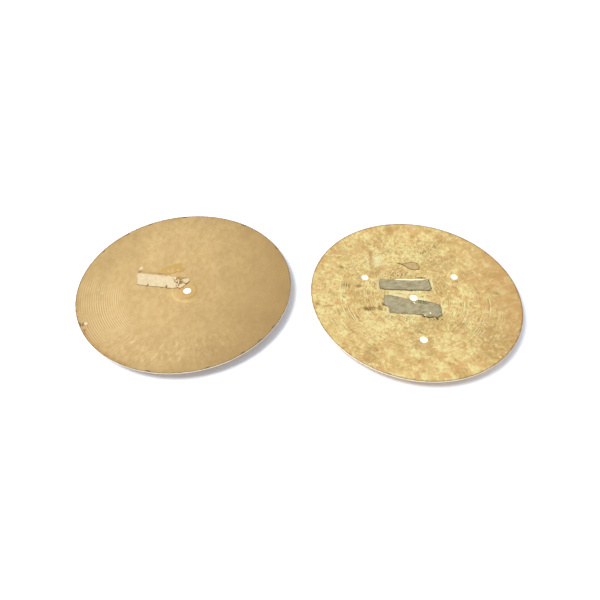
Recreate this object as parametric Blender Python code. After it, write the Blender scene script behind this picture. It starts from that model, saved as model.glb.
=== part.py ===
"""Two loose, bell-less cymbal plates lying side by side, hollow faces up, with old tape on them.

Metres, +Z up. The floor is z = 0 and +X runs from the left plate's centre to the right plate's.
The origin is on the floor, midway along the pair.
"""

import math
from collections import namedtuple

import bmesh
import bpy

MM = 0.001

# Driving dimensions.
HOLE_RADIUS = 6.35 * MM  # half-inch centre hole
SEAT_RADIUS = 20 * MM  # flat ring round the hole, where a felt or a strap pad sits
VENT_RADIUS = 6 * MM
VENT_CIRCLE = 91 * MM
VENT_ANGLES = (33, 153, 273)  # degrees from +X
RIM_CHAMFER = 0.25 * MM
RIM_GAP = 33.9 * MM  # between the two rims as they lie
CLOSED_GAP = 0.4 * MM  # left between the rims when one plate lies on the other

FILM_GAP = 0.3 * MM  # clearance under each stuck-on piece
TAPE_THICKNESS = 0.3 * MM
GLUE_THICKNESS = 0.2 * MM
FILM_GRID = 12 * MM  # spacing of the cuts that let a film follow the bow

TURNING_STEPS = 96
FACE_RINGS = 7
VENT_SIDES = 32

Plate = namedtuple("Plate", "name radius bow thickness")
LEFT = Plate("left_cymbal", 177.8 * MM, 16.7 * MM, 1.3 * MM)
RIGHT = Plate("right_cymbal", 175.5 * MM, 14.4 * MM, 1.6 * MM)

CENTRE_DISTANCE = LEFT.radius + RIM_GAP + RIGHT.radius
HALF_LENGTH = LEFT.radius + CENTRE_DISTANCE / 2 + (RIGHT.radius - LEFT.radius) / 2
LEFT_X = LEFT.radius - HALF_LENGTH
RIGHT_X = HALF_LENGTH - RIGHT.radius

# Outlines of the stuck-on pieces in millimetres, from the centre of the plate that each is on.
CREAM_STRIP = [
    (-89, 33.5), (-60, 32.2), (-38, 31), (-27, 30), (-21, 20), (-15.5, 8), (-22, 4.6), (-33, 4.2),
    (-36.5, 9.5), (-39, 5.6), (-66, 6), (-68.5, 11), (-71, 6), (-87, 7), (-88.5, 18), (-92, 28),
]
TORN_END = [
    (-22, 29), (-1, 28.3), (0, 22), (-4, 16.5), (-8.5, 10), (-12.5, 6.5), (-13.8, 9.5), (-18.5, 19),
]
TAPE_SCRAP = [(-89.5, 40), (-86, 40.5), (-85.5, 46), (-87.5, 48.5), (-90, 46)]
AMBER_FILM = [
    (-64, 36.5), (-55, 47), (-42, 56), (-31, 62.5), (-20, 64.5), (-18.5, 57), (-12.5, 50.5),
    (-14.5, 44), (-26, 41.5), (-36, 36),
]
UPPER_GREY_TAPE = [
    (-57, 35), (-54, 40.5), (-20, 40.6), (22, 41), (31.5, 43.5), (32.3, 30), (34, 22.5), (30, 17.6),
    (-2, 16.6), (-50, 16.2), (-56.5, 17.4), (-57, 26),
]
LOWER_GREY_TAPE = [
    (-50, 4), (-40, 3.8), (-25, 0.5), (-9.5, -4.2), (-6, -8), (0, -10), (6, -8), (8, -6.6),
    (20, -8), (36, -10.8), (41.5, -15), (43.5, -24), (43, -38), (37.5, -41), (33, -46.5),
    (30, -42.6), (19, -44), (12, -41.5), (9.5, -38), (-10, -36.6), (-44.5, -35.6), (-43, -28),
    (-46.5, -22), (-53.5, -19.5), (-51, -8),
]
GLUE_DRIP = [
    (-21, 81), (-13, 78.4), (-3, 81.6), (6, 83.6), (14, 81.8), (19, 74.5), (17.5, 66.5), (8, 64),
    (1, 66), (-6, 71.5), (-13, 76.6), (-20.4, 79),
]


def clear_scene():
    """Empties the file this runs in."""
    for thing in list(bpy.data.objects):
        bpy.data.objects.remove(thing)


def material(name, colour, roughness, metallic=0.0):
    """A plain material of one colour."""
    made = bpy.data.materials.new(name)
    made.use_nodes = True
    shader = made.node_tree.nodes["Principled BSDF"]
    shader.inputs["Base Color"].default_value = (*colour, 1)
    shader.inputs["Roughness"].default_value = roughness
    shader.inputs["Metallic"].default_value = metallic
    made.diffuse_color = (*colour, 1)
    return made


def add_object(name, mesh, finish=None):
    """Links one named object for a finished bmesh."""
    data = bpy.data.meshes.new(name)
    mesh.to_mesh(data)
    mesh.free()
    made = bpy.data.objects.new(name, data)
    bpy.context.collection.objects.link(made)
    if finish:
        data.materials.append(finish)
    return made


def shade_round(thing, crease=30):
    """Smooth shading with sharp creases."""
    thing.data.shade_smooth()
    thing.data.set_sharp_from_angle(angle=math.radians(crease))


def bow_height(plate, r):
    """Height of the plate's outer face above the floor, at a distance r from its centre."""
    curve = (plate.radius**2 + plate.bow**2) / (2 * plate.bow)

    def drop(at):
        return curve - math.sqrt(curve**2 - at**2)

    return drop(max(r, SEAT_RADIUS)) - drop(SEAT_RADIUS)


def rim_top(plate):
    """Height of the rim's upper edge above the floor."""
    return bow_height(plate, plate.radius) + plate.thickness


def section(plate):
    """The plate's closed outline in the XZ plane, from the hole out along the under side and back."""
    last = plate.radius - RIM_CHAMFER
    step = (last - SEAT_RADIUS) / FACE_RINGS
    radii = [HOLE_RADIUS] + [SEAT_RADIUS + step * ring for ring in range(FACE_RINGS + 1)]
    under = [(r, bow_height(plate, r)) for r in radii]
    rim = bow_height(plate, plate.radius)
    edge = [(plate.radius, rim + RIM_CHAMFER), (plate.radius, rim_top(plate) - RIM_CHAMFER)]
    upper = [(r, height + plate.thickness) for r, height in reversed(under)]
    return under + edge + upper


def turned_plate(plate, finish):
    """A round plate, spun from its section."""
    mesh = bmesh.new()
    points = [mesh.verts.new((r, 0, z)) for r, z in section(plate)]
    ring = [mesh.edges.new((points[i - 1], points[i])) for i in range(len(points))]
    bmesh.ops.spin(
        mesh,
        geom=points + ring,
        cent=(0, 0, 0),
        axis=(0, 0, 1),
        angle=2 * math.pi,
        steps=TURNING_STEPS,
        use_merge=True,
    )
    bmesh.ops.remove_doubles(mesh, verts=mesh.verts, dist=0.01 * MM)
    bmesh.ops.recalc_face_normals(mesh, faces=mesh.faces)
    made = add_object(plate.name, mesh, finish)
    shade_round(made)
    return made


def drill_vents(body, plate):
    """Cuts the vent holes, each with a hidden cutter square to the floor."""
    for number, angle in enumerate(VENT_ANGLES, start=1):
        mesh = bmesh.new()
        bmesh.ops.create_cone(
            mesh,
            cap_ends=True,
            segments=VENT_SIDES,
            radius1=VENT_RADIUS,
            radius2=VENT_RADIUS,
            depth=4 * plate.bow,
        )
        cutter = add_object(f"vent_cutter_{number}", mesh)
        turn = math.radians(angle)
        cutter.location = (VENT_CIRCLE * math.cos(turn), VENT_CIRCLE * math.sin(turn), 0)
        cutter.parent = body
        cutter.hide_render = True
        cutter.display_type = "WIRE"
        cut = body.modifiers.new(cutter.name, "BOOLEAN")
        cut.operation = "DIFFERENCE"
        cut.object = cutter


def grid_cuts(low, high):
    """Places of the cuts between two limits."""
    first = math.ceil(low / FILM_GRID + 0.1)
    last = math.floor(high / FILM_GRID - 0.1)
    return [FILM_GRID * n for n in range(first, last + 1)]


def film(name, outline, plate, thickness, finish):
    """A thin stuck-on piece of that outline, bent to the plate's inner face."""
    mesh = bmesh.new()
    mesh.faces.new([mesh.verts.new((x * MM, y * MM, 0)) for x, y in outline])
    for axis in (0, 1):
        normal = (1 - axis, axis, 0)
        places = [point[axis] * MM for point in outline]
        for place in grid_cuts(min(places), max(places)):
            bmesh.ops.bisect_plane(
                mesh,
                geom=mesh.verts[:] + mesh.edges[:] + mesh.faces[:],
                dist=0.001 * MM,
                plane_co=[place * n for n in normal],
                plane_no=normal,
            )
    bmesh.ops.triangulate(mesh, faces=mesh.faces)
    for corner in mesh.verts:
        face = bow_height(plate, corner.co.xy.length) + plate.thickness
        corner.co.z = face + FILM_GAP
    grown = bmesh.ops.extrude_face_region(mesh, geom=mesh.faces[:])
    for part in grown["geom"]:
        if isinstance(part, bmesh.types.BMVert):
            part.co.z += thickness
    bmesh.ops.recalc_face_normals(mesh, faces=mesh.faces)
    return add_object(name, mesh, finish)


def hang(things, parent):
    """Parents things made in a plate's own frame to that plate's empty."""
    for thing in things:
        thing.parent = parent


def empty_at(name, place, parent=None):
    """An empty that marks a plate's centre or a joint's axis."""
    made = bpy.data.objects.new(name, None)
    bpy.context.collection.objects.link(made)
    made.location = place
    made.parent = parent
    return made


def left_plate():
    """The plate with one hole, and the paper tape and glue left on it."""
    bronze = material("old_bronze", (0.58, 0.41, 0.19), 0.38, 1)
    paper = material("cream_paper", (0.83, 0.74, 0.56), 0.85)
    amber = material("amber_glue", (0.60, 0.40, 0.13), 0.4)
    return [
        turned_plate(LEFT, bronze),
        film("cream_tape_strip", CREAM_STRIP, LEFT, TAPE_THICKNESS, paper),
        film("torn_tape_end", TORN_END, LEFT, TAPE_THICKNESS, paper),
        film("tape_scrap", TAPE_SCRAP, LEFT, TAPE_THICKNESS, paper),
        film("amber_glue_film", AMBER_FILM, LEFT, GLUE_THICKNESS, amber),
    ]


def right_plate():
    """The plate with three more holes, and the grey tape and glue left on it."""
    bronze = material("spotted_bronze", (0.66, 0.45, 0.17), 0.3, 1)
    grey = material("grey_tape", (0.42, 0.38, 0.27), 0.6)
    brown = material("brown_glue", (0.33, 0.20, 0.08), 0.4)
    plate = turned_plate(RIGHT, bronze)
    drill_vents(plate, RIGHT)
    return [
        plate,
        film("upper_grey_tape", UPPER_GREY_TAPE, RIGHT, TAPE_THICKNESS, grey),
        film("lower_grey_tape", LOWER_GREY_TAPE, RIGHT, TAPE_THICKNESS, grey),
        film("leaf_glue_drip", GLUE_DRIP, RIGHT, GLUE_THICKNESS, brown),
    ]


def main():
    clear_scene()
    hang(left_plate(), empty_at("left_centre", (LEFT_X, 0, 0)))
    axis_height = (rim_top(LEFT) + rim_top(RIGHT) + CLOSED_GAP) / 2
    axis_x = (LEFT_X + RIGHT_X) / 2
    swing = empty_at("swing_axis", (axis_x, 0, axis_height))
    hang(right_plate(), empty_at("right_centre", (RIGHT_X - axis_x, 0, -axis_height), swing))
    bpy.context.view_layer.update()


main()
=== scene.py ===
"""Looks for two loose, bell-less cymbal plates with old tape and glue on their hollow faces.

The plates are turned again at full detail, with lathe grooves, hammer marks and dents in the mesh.
Each piece's mesh is in its own plate's frame, in metres, with the plate's centre as its origin.
"""

import math
import random

import bmesh
import bpy
import numpy as np
from mathutils import Matrix, Vector, noise


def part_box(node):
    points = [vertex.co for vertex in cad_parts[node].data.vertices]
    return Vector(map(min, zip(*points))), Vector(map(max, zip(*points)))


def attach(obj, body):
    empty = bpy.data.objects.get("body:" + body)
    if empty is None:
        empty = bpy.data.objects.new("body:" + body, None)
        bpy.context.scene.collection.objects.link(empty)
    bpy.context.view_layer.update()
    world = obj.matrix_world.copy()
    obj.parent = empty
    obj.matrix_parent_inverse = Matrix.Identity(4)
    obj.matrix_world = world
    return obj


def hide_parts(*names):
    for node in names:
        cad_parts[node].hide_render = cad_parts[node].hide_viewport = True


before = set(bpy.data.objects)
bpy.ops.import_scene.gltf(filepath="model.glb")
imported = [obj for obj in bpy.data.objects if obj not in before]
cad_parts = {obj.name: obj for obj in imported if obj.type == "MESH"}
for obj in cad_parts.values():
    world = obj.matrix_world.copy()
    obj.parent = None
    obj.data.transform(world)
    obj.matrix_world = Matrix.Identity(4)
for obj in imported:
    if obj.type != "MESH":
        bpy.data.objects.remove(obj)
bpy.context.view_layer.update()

MM = 0.001

# Shared with the CAD plates.
HOLE_RADIUS = 6.35 * MM
SEAT_RADIUS = 20 * MM
VENT_RADIUS = 6 * MM
VENT_CIRCLE = 91 * MM
VENT_ANGLES = (33, 153, 273)

# Turning and hammering.
GROOVE_PITCH = 3.44 * MM
RINGS_PER_GROOVE = 4
TURNING_STEPS = 480
EDGE_ROUND = 0.25 * MM
VENT_SIDES = 64
HAMMER_ROWS = (42, 66, 90, 114, 138, 160)  # radii in mm
HAMMER_SPACING = 24  # mm along a row
HAMMER_WIDTH = 4.6 * MM
SWELLS = 9
SWELL_STEEPNESS = 0.0012  # height against length
NICK_DEPTH = 0.45 * MM
NICK_WIDTH = 2.6 * MM
VENT_EASE = 0.35 * MM  # how far a vent's edges are rubbed back
PLATE_CREASE = 40  # degrees
FILM_CREASE = 50
TEAR_STEP = 1.4  # mm between the small steps of a torn edge


class Plate:
    """A plate's size and place, what working and wear did to its surface, and the light and shade painted
    on it.
    """

    def __init__(self, node, body, bow, thickness, groove_depth, seed, mirrored, lit):
        low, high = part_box(node)
        self.node = node
        self.body = body
        self.centre = Vector(((low.x + high.x) / 2, (low.y + high.y) / 2, 0))
        self.radius = (high.x - low.x) / 2
        self.bow = bow
        self.thickness = thickness
        self.groove_depth = groove_depth
        self.seed = seed
        self.mirrored = mirrored  # how bright the studio's light is on the plate's bare metal
        self.lit = lit  # and on paper, tape or glue that lies there
        self.dents = []  # x, y, width, depth in mm; a negative depth is a bulge
        self.nicks = []  # degrees round the rim
        self.stains_and_light = {}  # by name: softness, raggedness, its size, then the marks


LEFT = Plate(
    "left_cymbal", "left_plate", bow=16.7 * MM, thickness=1.3 * MM, groove_depth=0.10 * MM, seed=3,
    mirrored=1.16, lit=1.85,
)
RIGHT = Plate(
    "right_cymbal", "right_plate", bow=14.4 * MM, thickness=1.6 * MM, groove_depth=0.06 * MM, seed=8,
    mirrored=0.92, lit=1.44,
)

LEFT.dents = [(-144, -91, 2.2, 0.9), (-139, -94.5, 2.4, -0.5)]
LEFT.nicks = [155, 137, 122, 101, 62, 33, 331, 320, 309, 291, 262, 212]
RIGHT.dents = [(-165, -30, 2.4, 0.5), (-119, -7, 2, 0.4)]
RIGHT.nicks = [186, 203, 235, 301, 325, 338]

# Marks on the hollow faces: x, y, width and height in mm, turn in degrees, strength.
LEFT.stains_and_light = {
    # darkening: dirt and stains, with painted shade below the paper tape's lower edge and on one side of
    # the ding
    "dirt": (0.35, 2.5, 8, [
        (-88, 37, 10, 5, 0, 0.5), (-72, 35.5, 26, 4, 0, 0.25), (-50, 35, 18, 4, 0, 0.3),
        (-33, 3.5, 9, 3, 0, 0.3), (-18.5, 6, 4, 4.5, 20, 0.95),
        (-8, 8.5, 3, 3, 0, 0.4), (-4, 15, 4, 3, 0, 0.5), (-12, 28.6, 22, 3, -2, 0.75),
        (-145.5, -92, 3.4, 6, 20, 0.8), (-138.5, -106, 3, 9, 30, 0.6), (-160, 74, 5, 5, 0, 0.3),
    ]),
    # gap: dark adhesive in the tears and notches of the paper tape, with painted shade there
    "gap": (0.35, 1.2, 4, [
        (-21.5, 19, 3, 13, 28, 0.9), (-14.5, 18.5, 6.5, 9, 20, 0.8), (-16, 25, 9, 2.4, 0, 0.7),
        (-69, 8, 2.2, 6, 0, 0.9), (-36.8, 7, 3.2, 10, 8, 1), (-31.5, 5, 3, 3, 0, 0.8),
        (-43.5, 5, 3, 2.4, 0, 0.6),
    ]),
    "haze": (0.7, 3, 9, [(-24, 38, 22, 12, 0, 0.2)]),
    "copper": (0.5, 1.5, 5, [
        (-13.5, 3.8, 5, 3.6, 0, 0.7), (-133, -112, 34, 4, -50, 0.3), (-111, -134, 32, 4, -40, 0.3),
        (-90, -149, 30, 4, -31, 0.35), (-64, -162, 26, 4, -21, 0.3),
    ]),
    # shiny: a painted highlight on one side of the ding, and two small near-white glints
    "shiny": (0.5, 1, 5, [
        (-141.5, -90, 4, 4.5, 20, 1), (-145, -15, 4, 4, 0, 0.2), (-137, -22, 3, 5, 0, 0.2),
    ]),
}
RIGHT.stains_and_light = {
    # glow: painted highlights, bright gold patches where the metal would mirror the studio light
    "glow": (0.7, 9, 26, [
        (-12, 106, 120, 54, 0, 1), (-54, 85, 21, 32, -18, 1), (-98, 78, 50, 60, -30, 0.3),
        (-80, -70, 90, 60, 30, 0.4), (-8, 10, 84, 22, 0, 0.8), (-70, -45, 60, 40, 0, 0.4),
        (90, -40, 50, 50, 0, 0.35), (-145, 0, 44, 90, 0, 0.7),
    ]),
    "streaks": (0.5, 3, 9, [
        (-67, 86, 6, 44, 10, 0.7), (-52, 67, 26, 7, 38, 0.7), (-61, 53, 24, 12, 10, 0.6),
        (-31, 158, 16, 20, 0, 0.5), (-82, 120, 8, 40, 25, 0.4),
    ]),
    "smudges": (0.8, 8, 18, [
        (52, 82, 70, 46, -15, 0.4), (2, -72, 36, 22, 0, 0.6), (0, -100, 40, 34, 0, 0.45),
        (-52, 122, 34, 40, 20, 0.4), (-85, -130, 40, 30, 20, 0.5), (60, 128, 46, 26, 35, 0.35),
        (-120, 105, 46, 34, 40, 0.3), (30, -60, 60, 30, 10, 0.35), (50, 30, 30, 60, 10, 0.35),
        (108, -98, 70, 60, 45, 0.45), (-88, 2, 46, 34, 0, 0.3),
    ]),
    "blots": (0.4, 2, 6, [
        (-82, -30, 16, 9, 0, 0.9), (-70, -28, 8, 8, 0, 0.7), (-60, -27, 10, 11, 30, 0.6),
        (-96, -34, 8, 5, 0, 0.45), (-115, 19, 11, 8, 20, 0.7), (-92, 20, 10, 7, 0, 0.7),
        (-122, 60, 6, 6, 0, 0.6), (-119, -8, 4, 5, 0, 0.6), (-165, -31, 8, 5, 0, 0.55),
        (25, 134, 12, 6, 0, 0.4), (-49, 100, 11, 3, 10, 0.5), (-37, 108, 9, 3.4, 30, 0.5),
        (140, 8, 14, 7, -40, 0.4), (76, 38, 10, 5, 0, 0.5), (-66, 30, 4, 6, 0, 0.6),
        (31, 108, 24, 1.8, 38, 0.5), (-24, 10, 7, 6, 0, 0.5), (15, 3, 5, 7, 0, 0.6),
        (20, 12, 7, 4, 0, 0.5), (4, 13.5, 5, 3, 0, 0.4),
    ]),
    "bared": (0.6, 1.6, 5, [
        (35.5, 32, 3, 26, 0, 1), (-59, 26, 3, 18, 0, 0.7), (-47, -29, 4, 14, 0, 0.9),
        (15, -3, 20, 5, -8, 1), (-15, 12, 50, 6, 0, 0.7), (-12, -40, 36, 3.4, 0, 0.7),
        (46, -18, 3, 14, 0, 0.6), (-25, 4, 26, 4, -14, 0.9), (12, 14.4, 10, 3, 0, 1),
        (-57, 83, 16, 26, -18, 0.6), (-48, 74, 14, 12, 0, 0.4),
    ]),
    "crust": (0.45, 1.2, 4, [
        (16.5, 46.4, 19, 3.6, 1, 1), (-3, 16.6, 6, 3, 0, 0.9), (28, 17.5, 9, 2.6, 0, 0.8),
        (12, -6.6, 20, 2.6, -10, 1), (-15, -2.6, 14, 2.2, -14, 0.8), (33, -44, 3.5, 9, 0, 0.9),
        (20, -44, 4, 4, 0, 0.9), (11, -40, 4, 6, 0, 0.9), (-54, -18, 4, 6, 0, 0.8),
        (-43, -32, 3, 8, 0, 0.8), (42, -18, 3, 12, 0, 0.7), (-12, 45.5, 12, 1.6, 0, 0.5),
    ]),
    "pitted": (0.5, 5, 12, [
        (-28, 51, 42, 24, 15, 1), (-30, -46, 52, 12, -5, 0.9), (28, -46, 26, 12, 0, 0.9),
        (38, 118, 40, 26, 30, 0.6), (90, -60, 60, 40, 0, 0.3), (-95, 60, 60, 50, 0, 0.4),
    ]),
    # sparkling: where the painted glints show
    "sparkling": (0.8, 8, 20, [
        (110, -70, 90, 110, 30, 0.7), (-50, -60, 90, 50, 0, 0.5), (0, 100, 130, 70, 0, 0.5),
    ]),
    "scratches": (0.5, 1.5, 9, [
        (-130, 86.5, 32, 1.6, 6, 0.9), (-104, -52, 40, 1.2, -52, 0.6), (-88, -96, 50, 1.2, 48, 0.5),
        (-140, 108, 20, 1.4, 65, 0.6), (5, 96, 60, 1.4, 4, 0.4), (-74, 78, 2.2, 24, 12, 0.9),
        (-88, 76, 2.2, 26, -58, 0.6), (-104, 60, 2.2, 22, -35, 0.5),
    ]),
}


# Surfaces


def outer_height(plate, r):
    """Height of the outer (lower) face above the floor, at distances r from the centre."""
    curve = (plate.radius**2 + plate.bow**2) / (2 * plate.bow)
    at = np.maximum(r, SEAT_RADIUS)
    return np.sqrt(curve**2 - SEAT_RADIUS**2) - np.sqrt(curve**2 - at**2)


def add_object(name, data):
    """Links one new object for a mesh, a light or the camera."""
    made = bpy.data.objects.new(name, data)
    bpy.context.scene.collection.objects.link(made)
    return made


def read_vectors(items, name):
    """One vector of every vertex or face, as rows of an array."""
    flat = np.empty(len(items) * 3)
    items.foreach_get(name, flat)
    return flat.reshape(-1, 3)


def ramp(value, low, high):
    """0 below low, 1 above high, smooth between."""
    share = np.clip((value - low) / (high - low), 0, 1)
    return share * share * (3 - 2 * share)


def hammer_marks(plate):
    """Centres and depths of the hammer marks, in staggered rows round the plate."""
    chance = random.Random(plate.seed)
    marks = []
    for row in HAMMER_ROWS:
        count = round(2 * math.pi * row / HAMMER_SPACING)
        start = chance.uniform(0, 2 * math.pi)
        for number in range(count):
            turn = start + 2 * math.pi * (number + chance.uniform(-0.25, 0.25)) / count
            away = (row + chance.uniform(-4, 4)) * MM
            depth = chance.uniform(0.04, 0.15) * MM
            marks.append((away * math.cos(turn), away * math.sin(turn), depth))
    return marks


def swells(plate):
    """Direction, wavelength and phase of the long waves that hand work leaves in a plate."""
    chance = random.Random(plate.seed + 100)
    waves = []
    for _ in range(SWELLS):
        turn = chance.uniform(0, math.pi)
        length = chance.uniform(38, 95) * MM
        waves.append((math.cos(turn), math.sin(turn), length, chance.uniform(0, 2 * math.pi)))
    return waves


def working(plate, x, y):
    """How far the worked sheet stands above a true bowl, the same on both of its faces."""
    r = np.hypot(x, y)
    rise = np.zeros_like(x)
    for across, along, length, phase in swells(plate):
        rise += SWELL_STEEPNESS * length * np.cos(2 * math.pi * (across * x + along * y) / length + phase)
    for mark_x, mark_y, depth in hammer_marks(plate):
        rise -= depth * np.exp(-((x - mark_x) ** 2 + (y - mark_y) ** 2) / HAMMER_WIDTH**2)
    rise *= ramp(r, SEAT_RADIUS + 4 * MM, 55 * MM) * ramp(plate.radius - r, 1 * MM, 9 * MM)
    for dent_x, dent_y, width, depth in plate.dents:
        away = np.hypot(x - dent_x * MM, y - dent_y * MM)
        rise -= depth * MM * np.exp(-((away / (width * MM)) ** 2))
    return rise


def inner_height(plate, x, y):
    """Height of the worked inner face above the floor, grooves left out."""
    r = np.hypot(x, y)
    return outer_height(plate, r) + plate.thickness + working(plate, x, y)


def section(plate):
    """The plate's closed outline: hole, outer face, rim and back along the inner face."""
    ring = GROOVE_PITCH / RINGS_PER_GROOVE
    first = math.ceil((HOLE_RADIUS + 2 * EDGE_ROUND) / ring)
    last = math.floor((plate.radius - 2 * EDGE_ROUND) / ring)
    radii = [ring * number for number in range(first, last + 1)]
    rim = float(outer_height(plate, plate.radius))

    def corner(r, z, start):
        turns = [math.radians(start + 30 * k) for k in range(4)]
        return [(r + EDGE_ROUND * math.cos(t), z + EDGE_ROUND * math.sin(t)) for t in turns]

    outer = [(r, float(outer_height(plate, r))) for r in radii]
    inner = [(r, z + plate.thickness) for r, z in reversed(outer)]
    hole_edge = HOLE_RADIUS + EDGE_ROUND
    rim_edge = plate.radius - EDGE_ROUND
    return (
        corner(hole_edge, EDGE_ROUND, 180)
        + outer
        + corner(rim_edge, rim + EDGE_ROUND, 270)
        + corner(rim_edge, rim + plate.thickness - EDGE_ROUND, 0)
        + inner
        + corner(hole_edge, plate.thickness - EDGE_ROUND, 90)
    )


def work_surface(mesh, plate):
    """Cuts the grooves, hammer marks, dents and nicks into a turned plate's mesh."""
    x, y, z = read_vectors(mesh.vertices, "co").T.copy()
    r = np.hypot(x, y)
    turn = np.arctan2(y, x)
    inner = z > outer_height(plate, r) + plate.thickness / 2
    groove = 1 - (2 * ((r / GROOVE_PITCH) % 1) - 1) ** 2
    clear = ramp(r, SEAT_RADIUS, SEAT_RADIUS + 6 * MM) * ramp(plate.radius - r, 1 * MM, 4 * MM)
    depth = plate.groove_depth * (0.75 + 0.25 * np.cos(turn * 3 + r / (20 * MM)))
    z += working(plate, x, y) - np.where(inner, 1, -1) * groove * depth * clear
    bite = np.zeros_like(r)
    for nick in plate.nicks:
        off = np.angle(np.exp(1j * (turn - math.radians(nick)))) * plate.radius
        bite += NICK_DEPTH * np.exp(-((off / NICK_WIDTH) ** 2))
    shrink = 1 - bite * ramp(r, plate.radius - 5 * MM, plate.radius) / plate.radius
    flat = np.stack([x * shrink, y * shrink, z], axis=1)
    mesh.vertices.foreach_set("co", flat.ravel())
    mesh.update()


def wander(x, y, size, start):
    """An uneven push between -1 and 1 that changes over about size mm."""
    push = np.zeros_like(x)
    for step in range(5):
        turn = start + 2.4 * step
        length = size * 1.5 ** (step - 2)
        push += np.sin((x * math.cos(turn) + y * math.sin(turn)) * 2 * math.pi / length + 7 * turn)
    return push / 3


def store_marks(mesh, plate):
    """Stores each kind of mark on the mesh's points, stains and painted light and shade alike: its
    strength where it lies, 0 elsewhere.
    """
    x, y, _ = read_vectors(mesh.vertices, "co").T / MM
    for name, (soft, ragged, size, marks) in plate.stains_and_light.items():
        at_x = x + ragged * wander(x, y, size, plate.seed)
        at_y = y + ragged * wander(x, y, size, plate.seed + 40)
        cover = np.zeros_like(x)
        for mark_x, mark_y, wide, high, turn, strength in marks:
            facing = math.radians(turn)
            off_x = (at_x - mark_x) * math.cos(facing) + (at_y - mark_y) * math.sin(facing)
            off_y = (at_y - mark_y) * math.cos(facing) - (at_x - mark_x) * math.sin(facing)
            away = np.hypot(off_x * 2 / wide, off_y * 2 / high)
            cover = np.maximum(cover, strength * (1 - ramp(away, 1 - soft, 1 + soft)))
        mesh.attributes.new(name, "FLOAT", "POINT").data.foreach_set("value", cover)


def side_finishes(mesh, plate):
    """Gives the outer face the plate's second material and the rim's narrow wall the third."""
    x, y, z = read_vectors(mesh.polygons, "center").T
    r = np.hypot(x, y)
    outer = z < outer_height(plate, r) + plate.thickness * 0.4
    wall = r > plate.radius - 1.2 * EDGE_ROUND - 0.5 * MM
    upright = np.abs(read_vectors(mesh.polygons, "normal")[:, 2]) < 0.8
    mesh.polygons.foreach_set("material_index", np.where(wall & upright, 2, outer).astype(np.int32))
    mesh.update()


def vent_cutter(plate, angle):
    """A drill shape, narrow in the middle, that leaves both edges of a vent hole eased."""
    half = plate.thickness / 2
    reach = 9 * MM
    flare = VENT_RADIUS + 8 * MM
    upper = [
        (VENT_RADIUS, half - VENT_EASE), (VENT_RADIUS + VENT_EASE, half), (flare, reach), (0, reach),
    ]
    outline = [(x, -z) for x, z in reversed(upper)] + upper
    cutter = add_object("vent_cutter", spin("vent_cutter", outline, VENT_SIDES, closed=False))
    turn = math.radians(angle)
    x = VENT_CIRCLE * math.cos(turn)
    y = VENT_CIRCLE * math.sin(turn)
    cutter.location = (x, y, float(outer_height(plate, VENT_CIRCLE)) + half)
    return cutter


def drill(plate_object, plate):
    """Drills the vent holes and keeps the result as the object's own mesh."""
    cutters = [vent_cutter(plate, angle) for angle in VENT_ANGLES]
    for cutter in cutters:
        cut = plate_object.modifiers.new("vent", "BOOLEAN")
        cut.solver = "MANIFOLD"
        cut.operation = "DIFFERENCE"
        cut.object = cutter
    bpy.context.view_layer.update()
    ready = plate_object.evaluated_get(bpy.context.evaluated_depsgraph_get())
    drilled = bpy.data.meshes.new_from_object(ready)
    plate_object.modifiers.clear()
    plate_object.data = drilled
    for cutter in cutters:
        bpy.data.objects.remove(cutter)


def spin(name, outline, steps, closed):
    """The mesh of an outline in the XZ plane, turned once round Z by a Screw modifier."""
    mesh = bmesh.new()
    points = [mesh.verts.new((r, 0, z)) for r, z in outline]
    for first, second in zip(points, points[1:]):
        mesh.edges.new((first, second))
    if closed:
        mesh.edges.new((points[-1], points[0]))
    data = bpy.data.meshes.new(name)
    mesh.to_mesh(data)
    mesh.free()
    guide = add_object(name, data)
    turn = guide.modifiers.new("turn", "SCREW")
    turn.steps = steps
    turn.render_steps = steps
    turn.use_merge_vertices = True
    turn.merge_threshold = 0.001 * MM
    turn.use_normal_calculate = True
    bpy.context.view_layer.update()
    ready = guide.evaluated_get(bpy.context.evaluated_depsgraph_get())
    turned = bpy.data.meshes.new_from_object(ready)
    bpy.data.objects.remove(guide)
    mesh = bmesh.new()
    mesh.from_mesh(turned)
    bmesh.ops.recalc_face_normals(mesh, faces=mesh.faces)
    mesh.to_mesh(turned)
    mesh.free()
    turned.name = name
    return turned


def turned_plate(name, plate, finishes, vents=False):
    """A whole plate in mesh, spun from its section and then worked."""
    data = spin(name, section(plate), TURNING_STEPS, closed=True)
    work_surface(data, plate)
    made = add_object(name, data)
    for finish in finishes:
        data.materials.append(finish)
    if vents:
        drill(made, plate)
    store_marks(made.data, plate)
    side_finishes(made.data, plate)
    made.data.shade_smooth()
    made.data.set_sharp_from_angle(angle=math.radians(PLATE_CREASE))
    made.location = plate.centre
    return made


# Stuck-on pieces


class Layer:
    """One patch of tape or glue: its outline in mm, how high it lies and how it is crumpled."""

    def __init__(self, outline, tone=0.0, lift=0.12, thickness=0.25, crumple=0.1, size=9,
                 ragged=0.35, folds=(), curl=0.0, bead=0.0, grid=1.5):
        self.outline = outline
        self.tone = tone  # how much it takes of the second colour in its finish
        self.lift = lift
        self.thickness = thickness
        self.crumple = crumple
        self.size = size
        self.ragged = ragged
        self.folds = folds  # x1, y1, x2, y2, width, height of raised creases
        self.curl = curl  # how far the edge curls up
        self.bead = bead  # how far the edge is thickened, as on dried glue
        self.grid = grid


def torn_outline(layer, seed):
    """The outline with its straight runs broken up into small random steps."""
    chance = random.Random(seed)
    points = []
    for number, start in enumerate(layer.outline):
        end = layer.outline[(number + 1) % len(layer.outline)]
        parts = max(1, round(math.dist(start, end) / TEAR_STEP))
        for part in range(parts):
            share = part / parts
            x = start[0] + (end[0] - start[0]) * share + chance.uniform(-1, 1) * layer.ragged
            y = start[1] + (end[1] - start[1]) * share + chance.uniform(-1, 1) * layer.ragged
            points.append((x, y))
    return points


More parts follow.
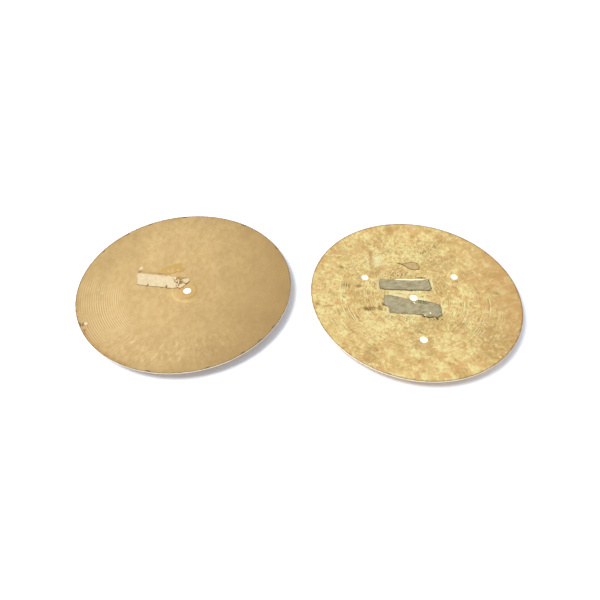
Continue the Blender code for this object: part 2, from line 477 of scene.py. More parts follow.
def distance_to(x, y, x1, y1, x2, y2):
    """Distance from points to a straight run."""
    length = (x2 - x1) ** 2 + (y2 - y1) ** 2
    share = np.clip(((x - x1) * (x2 - x1) + (y - y1) * (y2 - y1)) / max(length, 1e-9), 0, 1)
    return np.hypot(x - x1 - share * (x2 - x1), y - y1 - share * (y2 - y1))


def edge_distance(x, y, outline):
    """Distance in mm from points inside an outline to its nearest edge."""
    nearest = np.full_like(x, 1e3)
    for number, start in enumerate(outline):
        end = outline[(number + 1) % len(outline)]
        nearest = np.minimum(nearest, distance_to(x, y, *start, *end))
    return nearest


def layer_mesh(layer, plate, seed):
    """A thin closed sheet of the layer's outline, laid on the plate and crumpled."""
    outline = torn_outline(layer, seed)
    mesh = bmesh.new()
    mesh.faces.new([mesh.verts.new((x, y, 0)) for x, y in outline])
    for axis in (0, 1):
        places = [point[axis] for point in outline]
        count = math.floor((max(places) - min(places)) / layer.grid)
        for number in range(1, count + 1):
            at = min(places) + number * layer.grid
            cut = Vector((at, 0, 0)) if axis == 0 else Vector((0, at, 0))
            bmesh.ops.bisect_plane(
                mesh, geom=mesh.verts[:] + mesh.edges[:] + mesh.faces[:],
                dist=0.01, plane_co=cut, plane_no=cut,
            )
    bmesh.ops.triangulate(mesh, faces=mesh.faces)
    mesh.verts.ensure_lookup_table()
    x = np.array([v.co.x for v in mesh.verts])
    y = np.array([v.co.y for v in mesh.verts])
    edge = edge_distance(x, y, outline)
    height = inner_height(plate, x * MM, y * MM) / MM + layer.lift
    for x1, y1, x2, y2, width, rise in layer.folds:
        height += rise * np.exp(-((distance_to(x, y, x1, y1, x2, y2) / width) ** 2))
    height += layer.curl * np.exp(-((edge / 1.6) ** 2))
    for number, vert in enumerate(mesh.verts):
        spot = Vector((vert.co.x, vert.co.y, seed * 7.0)) / layer.size
        crumpled = 1 + noise.noise(spot) + 0.5 * noise.noise(2.3 * spot)
        vert.co.z = height[number] + layer.crumple * crumpled
    tone = mesh.verts.layers.float.new("tone")
    rim = mesh.verts.layers.float.new("edge")
    for number, vert in enumerate(mesh.verts):
        vert[tone] = layer.tone
        vert[rim] = edge[number]
    grown = bmesh.ops.extrude_face_region(mesh, geom=mesh.faces[:])
    for part in grown["geom"]:
        if isinstance(part, bmesh.types.BMVert):
            part.co.z += layer.thickness + layer.bead * math.exp(-((part[rim] - 1.2) ** 2))
    bmesh.ops.recalc_face_normals(mesh, faces=mesh.faces)
    bmesh.ops.scale(mesh, vec=(MM, MM, MM), verts=mesh.verts)
    return mesh


def stuck_piece(name, plate, layers, finish):
    """Joins a piece's layers, places it on its plate and hides the CAD piece it stands for."""
    joined = bmesh.new()
    for number, layer in enumerate(layers):
        part = layer_mesh(layer, plate, seed=len(name) + 10 * number)
        data = bpy.data.meshes.new(name)
        part.to_mesh(data)
        part.free()
        joined.from_mesh(data)
        bpy.data.meshes.remove(data)
    data = bpy.data.meshes.new(name)
    joined.to_mesh(data)
    joined.free()
    data.materials.append(finish)
    data.shade_smooth()
    data.set_sharp_from_angle(angle=math.radians(FILM_CREASE))
    made = add_object("stuck_" + name, data)
    made.location = plate.centre
    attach(made, plate.body)
    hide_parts(name)


# Finishes


class Wire:
    """An output socket of a finish; arithmetic on it adds Math nodes."""

    def __init__(self, finish, socket):
        self.finish = finish
        self.socket = socket

    def __add__(self, other):
        return self.finish.maths("ADD", self, other)

    def __sub__(self, other):
        return self.finish.maths("SUBTRACT", self, other)

    def __rsub__(self, other):
        return self.finish.maths("SUBTRACT", other, self)

    def __mul__(self, other):
        return self.finish.maths("MULTIPLY", self, other)

    def __truediv__(self, other):
        return self.finish.maths("DIVIDE", self, other)

    __radd__ = __add__
    __rmul__ = __mul__


class Finish:
    """A material whose pattern is worked out in millimetres from its plate's centre."""

    def __init__(self, name, light=1.0, metallic=0.0, coat=0.0, level=0.5):
        self.light = light
        self.material = bpy.data.materials.new(name)
        self.material.use_nodes = True
        self.tree = self.material.node_tree
        self.shader = self.tree.nodes["Principled BSDF"]
        self.shader.inputs["Metallic"].default_value = metallic
        self.shader.inputs["Coat Weight"].default_value = coat
        self.shader.inputs["Specular IOR Level"].default_value = level
        metres = self.add("TexCoord", out="Object")
        self.where = self.vector("MULTIPLY", metres, (1 / MM, 1 / MM, 0))
        self.away = self.length(self.where)
        self.across = self.add("SeparateXYZ", None, {0: self.where}, out="X")
        self.along = self.add("SeparateXYZ", None, {0: self.where}, out="Y")

    def add(self, kind, settings=None, sockets=None, out=0):
        """Adds a node: its type, its settings, then the values or wires of its sockets."""
        node = self.tree.nodes.new("ShaderNode" + kind)
        for name, value in (settings or {}).items():
            if name == "stops":
                self.set_stops(node.color_ramp.elements, value)
            else:
                setattr(node, name, value)
        for name, value in (sockets or {}).items():
            self.join(node.inputs[name], value)
        return Wire(self, node.outputs[out])

    def tint(self, red, green, blue):
        """The linear colour that shows as these 0 to 255 values under the light on this finish."""
        parts = [channel / 255 for channel in (red, green, blue)]
        linear = [c / 12.92 if c < 0.04045 else ((c + 0.055) / 1.055) ** 2.4 for c in parts]
        return (*[channel / self.light for channel in linear], 1)

    def set_stops(self, elements, stops):
        """Gives a colour ramp its stops, each a place and a colour."""
        while len(elements) < len(stops):
            elements.new(1)
        for element, (place, colour) in zip(elements, stops):
            element.position = place
            element.color = colour

    def join(self, socket, value):
        """Links a wire to a socket, or sets its value."""
        if isinstance(value, Wire):
            self.tree.links.new(value.socket, socket)
        else:
            socket.default_value = value

    def maths(self, operation, *values):
        return self.add("Math", {"operation": operation}, dict(enumerate(values)))

    def vector(self, operation, *values):
        return self.add("VectorMath", {"operation": operation}, dict(enumerate(values)))

    def length(self, vector):
        return self.add("VectorMath", {"operation": "LENGTH"}, {0: vector}, out="Value")

    def noise(self, size, detail=2.0, roughness=0.5, at=None, stretch=None, turn=0, offset=0, swirl=0.0):
        """Noise from 0 to 1 whose patches are about size mm wide, or stretched along a direction."""
        at = at or self.where
        if stretch or offset:
            at = self.add("Mapping", {"vector_type": "TEXTURE"}, {
                "Vector": at,
                "Location": (offset, offset * 0.7, offset * 0.3),
                "Rotation": (0, 0, math.radians(turn)),
                "Scale": (*(stretch or (1, 1)), 1),
            })
        return self.add("TexNoise", {"noise_dimensions": "3D"}, {
            "Vector": at, "Scale": 1 / size, "Detail": detail, "Roughness": roughness,
            "Distortion": swirl,
        })

    def dashes(self, wide, long, detail=3.0, offset=0.0):
        """Noise in dashes that point away from the centre, wide mm across near the rim."""
        rim = 170 / wide
        spread = self.add("VectorMath", {"operation": "SCALE"}, {
            "Vector": self.vector("NORMALIZE", self.where), "Scale": rim,
        })
        climb = self.add("CombineXYZ", None, {"Z": self.away / long + offset})
        return self.add("TexNoise", None, {
            "Vector": self.vector("ADD", spread, climb), "Scale": 1, "Detail": detail,
        })

    def grooves(self):
        """1 on the ridges between the lathe grooves and 0 in their middles."""
        return 0.5 + 0.5 * self.maths("COSINE", self.away * (2 * math.pi * MM / GROOVE_PITCH))

    def rings(self, size, detail=2.0, offset=0.0):
        """Noise that changes with the distance from the centre only."""
        return self.add("TexNoise", {"noise_dimensions": "1D"}, {
            "W": self.away + offset, "Scale": 1 / size, "Detail": detail,
        })

    def smooth(self, value, low, high, top=1.0):
        """0 at low, top at high, smooth between; low may be the larger."""
        return self.add("MapRange", {"interpolation_type": "SMOOTHSTEP"}, {
            "Value": value, "From Min": low, "From Max": high, "To Max": top,
        })

    def warped(self, amount, size=8.0, detail=2.0):
        """The place, pushed about by noise, which makes the edge of a mark uneven."""
        aside = (self.noise(size, detail) - 0.5) * amount
        ahead = (self.noise(size, detail, offset=9 * size) - 0.5) * amount
        push = self.add("CombineXYZ", None, {"X": aside, "Y": ahead})
        return self.vector("ADD", self.where, push)

    def mark(self, at, x, y, wide, high, turn=0, strength=1.0, soft=0.35):
        """A mask of one oval mark."""
        local = self.add("Mapping", {"vector_type": "TEXTURE"}, {
            "Vector": at, "Location": (x, y, 0), "Rotation": (0, 0, math.radians(turn)),
            "Scale": (wide / 2, high / 2, 1),
        })
        return self.smooth(self.length(local), 1 + soft, 1 - soft, strength)

    def marks(self, at, rows, soft=0.35):
        """A mask of several oval marks: x, y, width, height, turn in degrees, strength."""
        total = None
        for row in rows:
            one = self.mark(at, *row, soft)
            total = one if total is None else self.maths("MAXIMUM", total, one)
        return total

    def ring(self, inner, outer, soft):
        """A mask between two distances from the centre."""
        return self.smooth(self.away, inner - soft, inner + soft) * self.smooth(
            self.away, outer + soft, outer - soft
        )

    def sector(self, angle, half, soft=12):
        """A mask that is 1 within half degrees of a direction from the centre."""
        facing = (math.cos(math.radians(angle)), math.sin(math.radians(angle)), 0)
        unit = self.vector("NORMALIZE", self.where)
        turned = {"operation": "DOT_PRODUCT"}
        along = self.add("VectorMath", turned, {0: unit, 1: facing}, out="Value")
        low = math.cos(math.radians(half + soft))
        high = math.cos(math.radians(max(half - soft, 0)))
        return self.smooth(along, low, high)

    def mix(self, share, first, second, blend="MIX"):
        """The first colour, turned into the second by a share from 0 to 1."""
        return self.add("Mix", {"data_type": "RGBA", "blend_type": blend}, {
            0: share, 6: first, 7: second,
        }, out=2)

    def blend(self, share, first, second):
        """One colour, turned by a share into another, both given as they show."""
        return self.mix(share, self.tint(*first), self.tint(*second))

    def over(self, colour, share, shown):
        """A colour, turned by a share from 0 to 1 into one given as it shows."""
        return self.mix(share, colour, self.tint(*shown))

    def attribute(self, name):
        return self.add("Attribute", {"attribute_name": name}, out="Fac")

    def finish(self, colour, roughness, bump=None, depth=0.02, alpha=None):
        """Feeds the shader and returns the material; bump is a height, depth its size in mm."""
        self.join(self.shader.inputs["Base Color"], colour)
        self.join(self.shader.inputs["Roughness"], roughness)
        if bump is not None:
            normal = self.add("Bump", None, {
                "Height": bump, "Distance": depth * MM, "Strength": 1.0,
            })
            self.join(self.shader.inputs["Normal"], normal)
        if alpha is not None:
            self.join(self.shader.inputs["Alpha"], alpha)
        return self.material


def plain_inner_bronze(plate):
    """The one-hole plate's hollow face: pale tan, smooth, faintly clouded, darker to the right."""
    paint = Finish("plain_inner_bronze", plate.mirrored, metallic=1.0)
    clouds = paint.noise(30, detail=3, offset=40)
    flecks = paint.noise(8, detail=4, roughness=0.65, stretch=(1, 1.5), offset=10)
    colour = paint.blend(paint.smooth(flecks, 0.32, 0.70), (197, 167, 114), (213, 185, 132))
    colour = paint.over(colour, paint.smooth(clouds, 0.4, 0.7) * 0.3, (213, 179, 125))
    # Radial dashes where the hammer marks catch dirt and light, mostly towards the near rim.
    dashes = paint.dashes(4.5, 11, detail=3)
    near = paint.ring(105, 168, 22) * (0.3 + paint.sector(268, 48, 30))
    colour = paint.over(colour, paint.smooth(dashes, 0.54, 0.72) * near * 0.6, (232, 204, 152))
    colour = paint.over(colour, paint.smooth(dashes, 0.46, 0.28) * near * 0.45, (190, 158, 102))
    # Painted highlights on the ridges between the lathe grooves and painted shade in the grooves, in the
    # two sectors where they catch the light.
    painted_groove_light = paint.ring(108, 173, 12) * (paint.sector(205, 22) + 0.4 * paint.sector(2, 14))
    painted_groove_light = painted_groove_light * (0.4 + 1.2 * paint.smooth(clouds, 0.35, 0.6))
    colour = paint.over(colour, painted_groove_light * paint.grooves() * 0.6, (242, 214, 162))
    colour = paint.over(colour, painted_groove_light * (1 - paint.grooves()) * 0.35, (186, 154, 102))
    left_side = paint.smooth(paint.across, 20, -170)
    colour = paint.over(colour, left_side * 0.3, (176, 148, 98))
    right_side = paint.smooth(paint.across, -90, 220)
    colour = paint.over(colour, right_side * 0.85, (160, 131, 84))
    colour = paint.over(colour, paint.smooth(paint.away, 135, 178, 0.2), (160, 128, 84))
    # Round the hole: an amber ring with a darker arc, and a pale crescent beyond it.
    colour = paint.over(colour, paint.ring(8, 19, 2.5) * 0.32, (200, 158, 94))
    colour = paint.over(colour, paint.ring(15.5, 18, 1.5) * paint.sector(-20, 75) * 0.45, (164, 130, 72))
    crescent = paint.ring(22.5, 28, 3) * paint.sector(240, 60, 25)
    colour = paint.over(colour, crescent * 0.4, (240, 212, 140))
    around = paint.smooth(paint.rings(3.2, detail=2, offset=40), 0.45, 0.65) * paint.ring(8, 50, 8)
    colour = paint.over(colour, around * 0.22, (176, 142, 86))
    # Dirt and stains, with painted shade under the paper tape's lower edge and on one side of the ding.
    colour = paint.over(colour, paint.attribute("dirt"), (104, 80, 38))
    # Dark adhesive and painted shade in the paper tape's tears and notches.
    colour = paint.over(colour, paint.attribute("gap"), (128, 104, 64))
    colour = paint.over(colour, paint.attribute("haze"), (228, 180, 128))
    colour = paint.over(colour, paint.attribute("copper"), (176, 104, 66))
    # Painted glints: a highlight on one side of the ding and two small bright spots.
    colour = paint.over(colour, paint.attribute("shiny"), (252, 238, 208))
    # A dark line of dirt on the rim, with darker spots at the nicks.
    edge = plate.radius / MM
    dirt = paint.smooth(paint.away + paint.noise(4, detail=3) * 5, edge + 0.3, edge + 2.1)
    colour = paint.over(colour, dirt * 0.8, (118, 94, 58))
    spots = [
        (edge * math.cos(math.radians(a)), edge * math.sin(math.radians(a)), 9, 6, a + 90, 0.9)
        for a in plate.nicks
    ]
    colour = paint.over(colour, paint.marks(paint.warped(5), spots, 0.5), (92, 74, 42))
    grain = paint.rings(0.7, detail=3) + flecks * 1.2 + dashes * near * 1.5
    roughness = 0.38 + 0.10 * clouds
    return paint.finish(colour, roughness, grain, 0.03)


def spotted_inner_bronze(plate):
    """The vented plate's hollow face: bright gold with brown and olive tarnish, pits and rings."""
    paint = Finish("spotted_inner_bronze", plate.mirrored, metallic=1.0)
    warped = paint.warped(12, 16, 3)
    broad = paint.noise(30, detail=4, roughness=0.6, at=warped, offset=90)
    patches = paint.noise(12, detail=5, roughness=0.6, at=warped, offset=20, swirl=0.8)
    dabs = paint.noise(4.2, detail=4, roughness=0.7, stretch=(1, 1.6), turn=-35, offset=55, swirl=0.5)
    dashes = paint.dashes(4, 9, detail=4)
    outside = paint.smooth(paint.away, 95, 135)
    flecks = dabs + outside * (dashes - dabs) * 0.4
    tone = 0.28 * broad + 0.48 * patches + 0.42 * flecks
    colour = paint.add("ValToRGB", {"stops": [
        (0.45, paint.tint(192, 156, 96)),
        (0.53, paint.tint(222, 188, 122)),
        (0.60, paint.tint(240, 209, 142)),
        (0.68, paint.tint(255, 240, 172)),
    ]}, {0: tone})
    olive = paint.smooth(paint.noise(24, detail=3, offset=400), 0.48, 0.66)
    colour = paint.over(colour, olive * 0.4, (216, 192, 122))
    copper = paint.smooth(paint.noise(14, detail=3, offset=210), 0.5, 0.68)
    colour = paint.over(colour, copper * (0.25 + 0.4 * outside), (226, 174, 116))
    colour = paint.over(colour, paint.smooth(paint.across, 70, 180) * 0.6, (204, 160, 102))
    # Painted highlights: bright gold patches within the glow marks.
    glow = paint.attribute("glow") * paint.smooth(flecks, 0.4, 0.62)
    colour = paint.over(colour, glow, (255, 238, 168))
    colour = paint.over(colour, paint.attribute("streaks"), (188, 148, 88))
    smudged = paint.attribute("smudges") * paint.smooth(flecks, 0.66, 0.4)
    colour = paint.over(colour, smudged, (176, 140, 82))
    ragged = 0.55 + paint.noise(3, detail=3, offset=230)
    colour = paint.over(colour, paint.attribute("blots") * ragged, (140, 110, 58))
    # Painted glints: small near-white flecks where the metal catches the light.
    sparks = paint.smooth(paint.noise(2.8, detail=2, offset=130), 0.62, 0.7)
    sparks = sparks * paint.attribute("sparkling")
    colour = paint.over(colour, sparks * 0.85, (255, 248, 208))
    # Clean, bright metal and crumbs of glue along the edges of the tapes.
    colour = paint.over(colour, paint.attribute("bared") * ragged, (255, 243, 190))
    colour = paint.over(colour, paint.attribute("crust"), (104, 84, 40))
    pits = paint.smooth(paint.noise(2.1, detail=1, offset=12), 0.56, 0.62) * paint.attribute("pitted")
    colour = paint.over(colour, pits, (100, 78, 36))
    # Worn rings of tarnish left between the lathe cuts, and painted highlights on other rings, in the
    # sectors where they show.
    lines = paint.smooth(paint.rings(3.2, detail=3), 0.46, 0.62)
    worn_and_lit = paint.ring(26, 70, 8) + paint.ring(62, 98, 6) * paint.sector(333, 24)
    worn_and_lit = worn_and_lit + paint.ring(70, 132, 10) * 0.55
    worn_and_lit = worn_and_lit + paint.ring(62, 164, 8) * paint.sector(186, 24) * 0.6
    worn_and_lit = worn_and_lit + paint.ring(108, 156, 8) * (paint.sector(335, 26) + paint.sector(218, 22)) * 0.6
    broken = paint.smooth(paint.noise(13, detail=4, offset=310), 0.42, 0.64)
    colour = paint.over(colour, lines * worn_and_lit * broken * 0.5, (166, 128, 70))
    shine = paint.smooth(paint.rings(2.8, detail=3, offset=77), 0.5, 0.64)
    colour = paint.over(colour, shine * worn_and_lit * broken * 0.45, (255, 240, 186))
    colour = paint.over(colour, paint.attribute("scratches"), (255, 240, 186))
    edge = plate.radius / MM
    dirt = paint.smooth(paint.away + paint.noise(7, detail=3) * 4, edge - 1.6, edge + 1.6)
    colour = paint.over(colour, dirt * 0.7, (140, 106, 60))
    grain = paint.rings(0.8, detail=3) * 0.6 + flecks * 1.5 + pits * -2.0
    roughness = 0.30 + 0.22 * patches
    return paint.finish(colour, roughness, grain, 0.04)


def painted_pale_edge():
    """The rim's wall: painted pale and dull, a painted reflection of the white table and room."""
    paint = Finish("painted_pale_edge", level=0.4)
    edge_patches = paint.noise(5, detail=3, offset=60)
    colour = paint.blend(paint.smooth(edge_patches, 0.4, 0.7), (252, 246, 232), (236, 224, 198))
    return paint.finish(colour, 0.55, edge_patches, 0.05)


def outer_bronze(name, plate, pale, dark, offset):
    """The bulging outer face: turned all over, evenly dulled, with handling marks."""
    paint = Finish(name, plate.mirrored, metallic=1.0)
    clouds = paint.noise(30, detail=4, roughness=0.6, at=paint.warped(14, 20, 3), offset=offset)
    fine = paint.noise(6, detail=4, roughness=0.65, offset=offset + 30)
    tone = 0.6 * clouds + 0.4 * fine
    colour = paint.blend(paint.smooth(tone, 0.36, 0.62), dark, pale)
    lines = paint.smooth(paint.rings(2.2, detail=2, offset=offset), 0.48, 0.7)
    colour = paint.over(colour, lines * 0.22, (170, 130, 70))
    colour = paint.over(colour, paint.ring(6, 20, 2) * 0.35, (160, 122, 66))
    handled = paint.smooth(paint.noise(17, detail=3, offset=offset + 70), 0.58, 0.75)
    colour = paint.over(colour, handled * 0.35, (172, 134, 78))
    grain = paint.rings(0.7, detail=3) + fine * 0.5
    roughness = 0.34 + 0.16 * fine
    return paint.finish(colour, roughness, grain, 0.02)


def cream_paper():
    """Old cream paper tape: matt, faintly fibrous, yellowed and dirty at its edges."""
    paint = Finish("cream_paper", LEFT.lit, level=0.25)
    edge = paint.attribute("edge")
    tone = paint.attribute("tone")
    blotch = paint.noise(8, detail=3, offset=15)
    fibres = paint.noise(1.3, detail=3, stretch=(1, 5), turn=75)
    colour = paint.blend(paint.smooth(blotch, 0.35, 0.65), (243, 219, 177), (252, 231, 187))
    colour = paint.over(colour, paint.smooth(fibres, 0.5, 0.8) * 0.3, (228, 206, 172))
    yellowed = paint.smooth(edge + blotch * 1.2, 1.5, 0.4) * (1 - tone)
    colour = paint.over(colour, yellowed * 0.45, (222, 188, 132))
    greyed = paint.smooth(paint.noise(3.5, detail=4, roughness=0.65, offset=44), 0.52, 0.66)
    colour = paint.over(colour, greyed * 0.35, (216, 194, 158))
    colour = paint.over(colour, tone * 0.3, (255, 226, 168))
    tears = [
        (-24.5, 20.5, 2, 12, 30, 0.8), (-20, 10.5, 1.8, 7, 20, 0.7), (-11, 25, 6, 1.4, 0, 0.4),
        (-6, 20, 1.4, 5, -30, 0.4), (-29, 26, 1.4, 6, 40, 0.4),
    ]
    colour = paint.over(colour, paint.marks(paint.warped(2.4, 3, 3), tears, 0.5), (146, 120, 78))
    creases = paint.noise(5, detail=3, stretch=(1, 4), turn=20, offset=8)
    return paint.finish(colour, 0.85, fibres * 0.5 + creases * 2, 0.12)


def grey_cloth_tape():
    """Old grey cloth tape: a fine weave under dull plastic, dark jagged edges, a pale peeled lip."""
    paint = Finish("grey_cloth_tape", RIGHT.lit, level=0.3)
    edge = paint.attribute("edge")
    tone = paint.attribute("tone")
    clouds = paint.noise(13, detail=3, at=paint.warped(8, 10), offset=5)
    colour = paint.blend(paint.smooth(clouds, 0.35, 0.65), (171, 157, 122), (168, 160, 127))
    green = paint.smooth(paint.noise(17, detail=2, offset=70), 0.5, 0.7)
    colour = paint.over(colour, green * 0.4, (172, 166, 128))
    pushed = paint.warped(8, 10)
    scuffs = paint.noise(5, detail=4, roughness=0.6, at=pushed, stretch=(2, 1), turn=25, offset=9)
    colour = paint.over(colour, paint.smooth(scuffs, 0.5, 0.38) * 0.8, (146, 132, 94))
    colour = paint.over(colour, paint.smooth(scuffs, 0.52, 0.64) * 0.6, (196, 183, 148))
    jagged = paint.noise(2.4, detail=3)
    dirt = paint.smooth(edge + jagged * 2.2, 2.9, 1.3)
    dirty = [
        (-6, 16, 96, 8, 0, 1), (34, 28, 12, 34, 0, 1), (24, -43, 50, 18, 0, 1), (14, -7, 34, 9, -8, 1),
        (44, -24, 9, 34, 0, 0.7), (-52, -20, 9, 9, 0, 0.8), (16, 46, 22, 8, 0, 1),
    ]
    dirt = dirt * (0.25 + paint.marks(paint.where, dirty, 0.5))
    colour = paint.over(colour, dirt, (84, 72, 40))
    rotten = [
        (14, -11, 20, 5, -8, 0.9), (-4, -9, 8, 3, -20, 0.5), (41, -25, 5, 24, 0, 0.5),
        (24, -42, 30, 5, 0, 0.5), (31.5, 38, 4, 12, 0, 0.6), (-10, 18, 80, 2.6, 0, 0.4),
    ]
    rotten = paint.marks(paint.warped(4, 4, 3), rotten, 0.5) * paint.smooth(jagged, 0.62, 0.4)
    colour = paint.over(colour, rotten, (98, 90, 52))
    pale = paint.blend(paint.smooth(jagged, 0.4, 0.7) * 0.4, (274, 266, 226), (252, 236, 188))
    colour = paint.mix(tone, colour, pale)
    weave = paint.maths("SINE", paint.across * 5.2) * paint.maths("SINE", paint.along * 5.2)
    return paint.finish(colour, 0.62, weave * 0.2 + clouds * 2 + jagged, 0.08)


def amber_glue():
    """A thin film of dried amber glue, deeper in colour to the right and paler at its edges."""
    paint = Finish("amber_glue", LEFT.lit, coat=0.2)
    edge = paint.attribute("edge")
    clouds = paint.noise(9, detail=3, offset=33)
    deep = paint.smooth(paint.across + clouds * 24, -50, -4)
    colour = paint.blend(deep, (216, 172, 76), (210, 163, 64))
    wavy = [
        (-33, 46, 2.4, 12, 10, 0.7), (-40, 43, 9, 2.4, -55, 0.8), (-35, 44, 10, 2, -60, 0.6),
        (-24, 46.5, 4, 4, 0, 0.8),
    ]
    colour = paint.over(colour, paint.marks(paint.warped(4, 5), wavy, 0.5), (232, 196, 124))
    thin = paint.smooth(edge + clouds * 5, 5.4, 1.6)
    colour = paint.over(colour, thin * 0.7, (218, 185, 122))
    alpha = 0.95 * paint.smooth(edge + clouds, 0.3, 1.0)
    return paint.finish(colour, 0.38, clouds, 0.2, alpha=alpha)


def brown_glue():
    """A dried drip: clear brown with a dark raised edge."""
    paint = Finish("brown_glue", RIGHT.lit, coat=0.3)
    edge = paint.attribute("edge")
    clouds = paint.noise(5, detail=3, offset=3)
    outline = paint.smooth(edge + clouds, 2.0, 1.1)
    colour = paint.blend(outline, (222, 190, 130), (104, 82, 38))
    alpha = 0.3 + 0.65 * outline
    return paint.finish(colour, 0.35, clouds, 0.15, alpha=alpha)


# Pieces

CREAM_STRIP = [
    (-89, 33.5), (-60, 32.2), (-38, 31), (-27, 30), (-22.5, 27), (-24, 23), (-20.5, 20.5), (-21.5, 16),
    (-17, 13.5), (-18, 10.5), (-15.5, 7.5), (-22, 4.6), (-34.4, 4.2), (-36.2, 11.5), (-39, 5.6),
    (-66, 6), (-68.8, 12), (-70.5, 6), (-87, 7), (-88.5, 18), (-92, 28),
]
CREAM_FOLDS = [
    (-25, 28.5, -16.5, 9, 1.6, 1.3), (-89, 8, -90.5, 30, 1.2, 0.5), (-60, 8, -61, 31, 1.0, 0.15),
    (-47, 7, -44, 20, 1.2, 0.25), (-38, 18, -36, 29, 1.4, 0.25), (-78, 12, -76, 30, 1.6, 0.2),
]
UPPER_FLAKE = [
    (-17, 26.4), (-14, 26.2), (-8, 27), (-1, 27.5), (0.4, 22), (-3, 17), (-6, 16.5), (-9.6, 19.5),
    (-12, 23.8),
]
LOWER_FLAKE = [(-16.6, 8.5), (-13.6, 13.6), (-9.5, 15.6), (-4.5, 15), (-8, 9.4), (-12.4, 5.6), (-15, 6)]
THIN_SHRED = [(-21, 24.5), (-18.6, 24), (-16, 15), (-17.6, 14)]
SMALL_SHRED = [(-21, 6.5), (-20, 8.6), (-22.5, 9), (-23, 5)]
TAPE_SCRAP = [(-90.5, 39.4), (-85.4, 40), (-84.8, 45.6), (-87, 48.4), (-90.5, 46.6)]
AMBER_FILM = [
    (-64, 36.5), (-55, 47), (-42, 56), (-31, 62.5), (-20, 64.5), (-18.5, 57), (-12.5, 50.5),
    (-14.5, 44), (-26, 41.5), (-36, 36),
]
UPPER_GREY_TAPE = [
    (-57, 35), (-54, 40.5), (-20, 40.6), (22, 41), (31.5, 43.5), (32.3, 30), (34, 22.5), (30, 17.6),
    (-2, 16.6), (-50, 16.2), (-56.5, 17.4), (-57, 26),
]
PEELED_LIP = [
    (-30, 39.3), (-21, 41.4), (2, 42), (9, 42.2), (22, 42.2), (21, 40.3), (2, 39.4), (-20, 39),
]
LOWER_GREY_TAPE = [
    (-50, 4), (-40, 3.8), (-25, 0.5), (-9.5, -4.2), (-6, -8), (0, -10), (6, -8), (8, -6.6),
    (20, -8), (36, -10.8), (41.5, -15), (43.5, -24), (43, -38), (37.5, -41), (33, -46.5),
    (30, -42.6), (19, -44), (12, -41.5), (9.5, -38), (-10, -36.6), (-44.5, -35.6), (-43, -28),
    (-46.5, -22), (-53.5, -19.5), (-51, -8),
]
PALE_FLECKS = [
    [(-3.4, -10), (-1, -10.4), (2.2, -13.6), (0.4, -13.8)],
    [(21.6, -34.6), (23.5, -32.6), (25.2, -34.6), (23.5, -36)],
    [(13, -39.4), (14, -37.6), (15.4, -39), (14.4, -40.6)],
]
GLUE_DRIP = [
    (-21, 81), (-13, 78.4), (-3, 81.6), (6, 83.6), (14, 81.8), (19, 74.5), (17.5, 66.5), (8, 64),
    (1, 66), (-6, 71.5), (-13, 76.6), (-20.4, 79),
]


def build_plates():
    """Both plates, each with one finish inside and one outside."""
    left_outer = outer_bronze("plain_outer_bronze", LEFT, (222, 188, 132), (200, 164, 106), 500)
    right_outer = outer_bronze("spotted_outer_bronze", RIGHT, (240, 208, 138), (206, 164, 92), 900)
    edge = painted_pale_edge()
    left = [plain_inner_bronze(LEFT), left_outer, edge]
    right = [spotted_inner_bronze(RIGHT), right_outer, edge]
    pairs = [
        (LEFT, "turned_left_plate", left, "plain_bronze", False),
        (RIGHT, "turned_right_plate", right, "spotted_bronze", True),
    ]
    for plate, name, finishes, slot, vents in pairs:
        made = turned_plate(name, plate, finishes, vents)
        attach(made, plate.body)
        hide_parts(plate.node)


def build_left_leftovers():
    """The paper tape and the amber film on the one-hole plate."""
    paper = cream_paper()
    strip = Layer(CREAM_STRIP, lift=0.15, crumple=0.12, size=7, ragged=0.4, folds=CREAM_FOLDS)
    torn = [
        Layer(UPPER_FLAKE, tone=1, lift=0.3, crumple=0.4, size=4, curl=0.2, grid=0.9),
        Layer(LOWER_FLAKE, tone=1, lift=0.15, crumple=0.15, size=4, curl=0.05, grid=0.9),
        Layer(THIN_SHRED, tone=1, lift=0.3, crumple=0.3, size=4, grid=0.9),
        Layer(SMALL_SHRED, lift=0.3, crumple=0.3, size=4, grid=0.9),
    ]
    scrap = Layer(TAPE_SCRAP, tone=2.6, crumple=0.1, size=4, ragged=0.3, grid=0.9)
    film = Layer(AMBER_FILM, lift=0.08, thickness=0.1, crumple=0.03, ragged=0.5)
    stuck_piece("cream_tape_strip", LEFT, [strip], paper)
    stuck_piece("torn_tape_end", LEFT, torn, paper)
    stuck_piece("tape_scrap", LEFT, [scrap], paper)
    stuck_piece("amber_glue_film", LEFT, [film], amber_glue())


def build_right_leftovers():
    """The grey tapes and the drip on the vented plate."""
    grey = grey_cloth_tape()
    upper = [
        Layer(UPPER_GREY_TAPE, ragged=0.5, crumple=0.08, size=12),
        Layer(PEELED_LIP, tone=1, lift=0.5, ragged=0.35, crumple=0.2, size=4, grid=0.9),
    ]
    lower = [Layer(LOWER_GREY_TAPE, ragged=0.55, crumple=0.08, size=12)]
    for fleck in PALE_FLECKS:
        lower.append(Layer(fleck, tone=1, lift=0.5, ragged=0.2, crumple=0.2, size=3, grid=0.7))
    drip = Layer(GLUE_DRIP, lift=0.06, thickness=0.12, crumple=0.02, ragged=0.15, bead=0.3, grid=1.2)
    stuck_piece("upper_grey_tape", RIGHT, upper, grey)
    stuck_piece("lower_grey_tape", RIGHT, lower, grey)
    stuck_piece("leaf_glue_drip", RIGHT, [drip], brown_glue())


# Stage


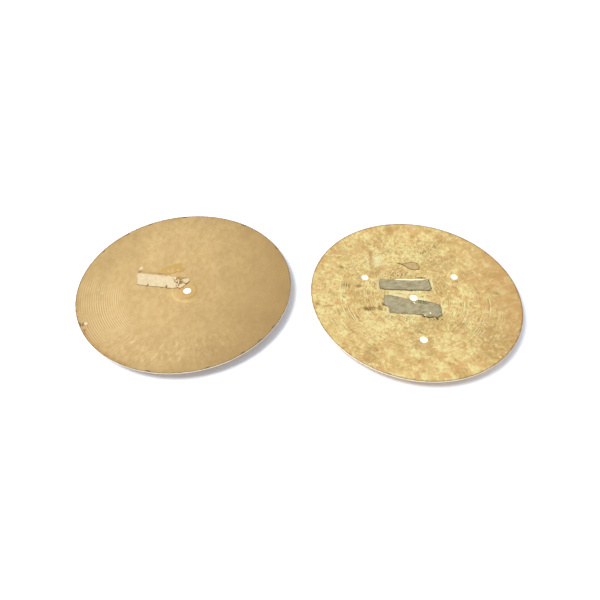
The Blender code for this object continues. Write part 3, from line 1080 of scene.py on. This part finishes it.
def lit_table():
    """A pale table that glows far away and under the plates, so that their holes show white."""
    mesh = bmesh.new()
    bmesh.ops.create_grid(mesh, x_segments=1, y_segments=1, size=12)
    data = bpy.data.meshes.new("table_top")
    mesh.to_mesh(data)
    mesh.free()
    table = add_object("table_top", data)
    table.location.z = -0.05 * MM
    paint = Finish("white_table", level=0.2)
    glow = paint.smooth(paint.away, 330, 700, 0.3) + 0.04
    for plate in (LEFT, RIGHT):
        from_centre = paint.vector("SUBTRACT", paint.where, tuple(plate.centre / MM))
        glow = glow + paint.smooth(paint.length(from_centre), 165, 125, 0.76)
    white = (0.75, 0.785, 0.87, 1)
    paint.join(paint.shader.inputs["Emission Color"], paint.mix(glow, (0, 0, 0, 1), (1, 1, 1, 1)))
    paint.shader.inputs["Emission Strength"].default_value = 1.0
    data.materials.append(paint.finish(white, 0.9))


def area_light(name, place, size, power):
    """A square soft light aimed at the middle of the table."""
    data = bpy.data.lights.new(name, "AREA")
    data.size = size
    data.energy = power
    light = add_object(name, data)
    light.location = place
    light.rotation_euler = (-Vector(place)).to_track_quat("-Z", "Y").to_euler()
    return light


def studio():
    """Even white surroundings, a soft light from the left, and two panels for the metal to mirror."""
    world = bpy.data.worlds.new("studio")
    bpy.context.scene.world = world
    world.use_nodes = True
    background = world.node_tree.nodes["Background"]
    background.inputs["Color"].default_value = (0.975, 0.985, 1.0, 1)
    background.inputs["Strength"].default_value = 0.85
    key = area_light("key_light", (-1.1, -0.35, 2.0), 0.9, 54)
    key.visible_glossy = False
    for name, y, power in (("back_panel", 1.5, 8), ("front_panel", -2.1, 11)):
        panel = area_light(name, (-1.0, y, 1.8), 1.3, power)
        panel.visible_diffuse = False
    bpy.context.scene.view_settings.view_transform = "Standard"


def camera():
    """A camera in front of the pair and above it, rolled and turned by about a degree."""
    place = (0.0089, -0.5727, 0.644)
    downward = 48.95
    data = bpy.data.cameras.new("camera")
    data.sensor_width = 36
    data.lens = 30.24
    made = add_object("camera", data)
    heading = Matrix.Rotation(math.radians(0.767), 4, "Z")
    pitch = Matrix.Rotation(math.radians(90 - downward), 4, "X")
    roll = Matrix.Rotation(math.radians(1.26), 4, "Z")
    made.matrix_world = Matrix.Translation(place) @ heading @ pitch @ roll
    bpy.context.scene.camera = made


camera()
studio()
lit_table()
build_plates()
build_left_leftovers()
build_right_leftovers()
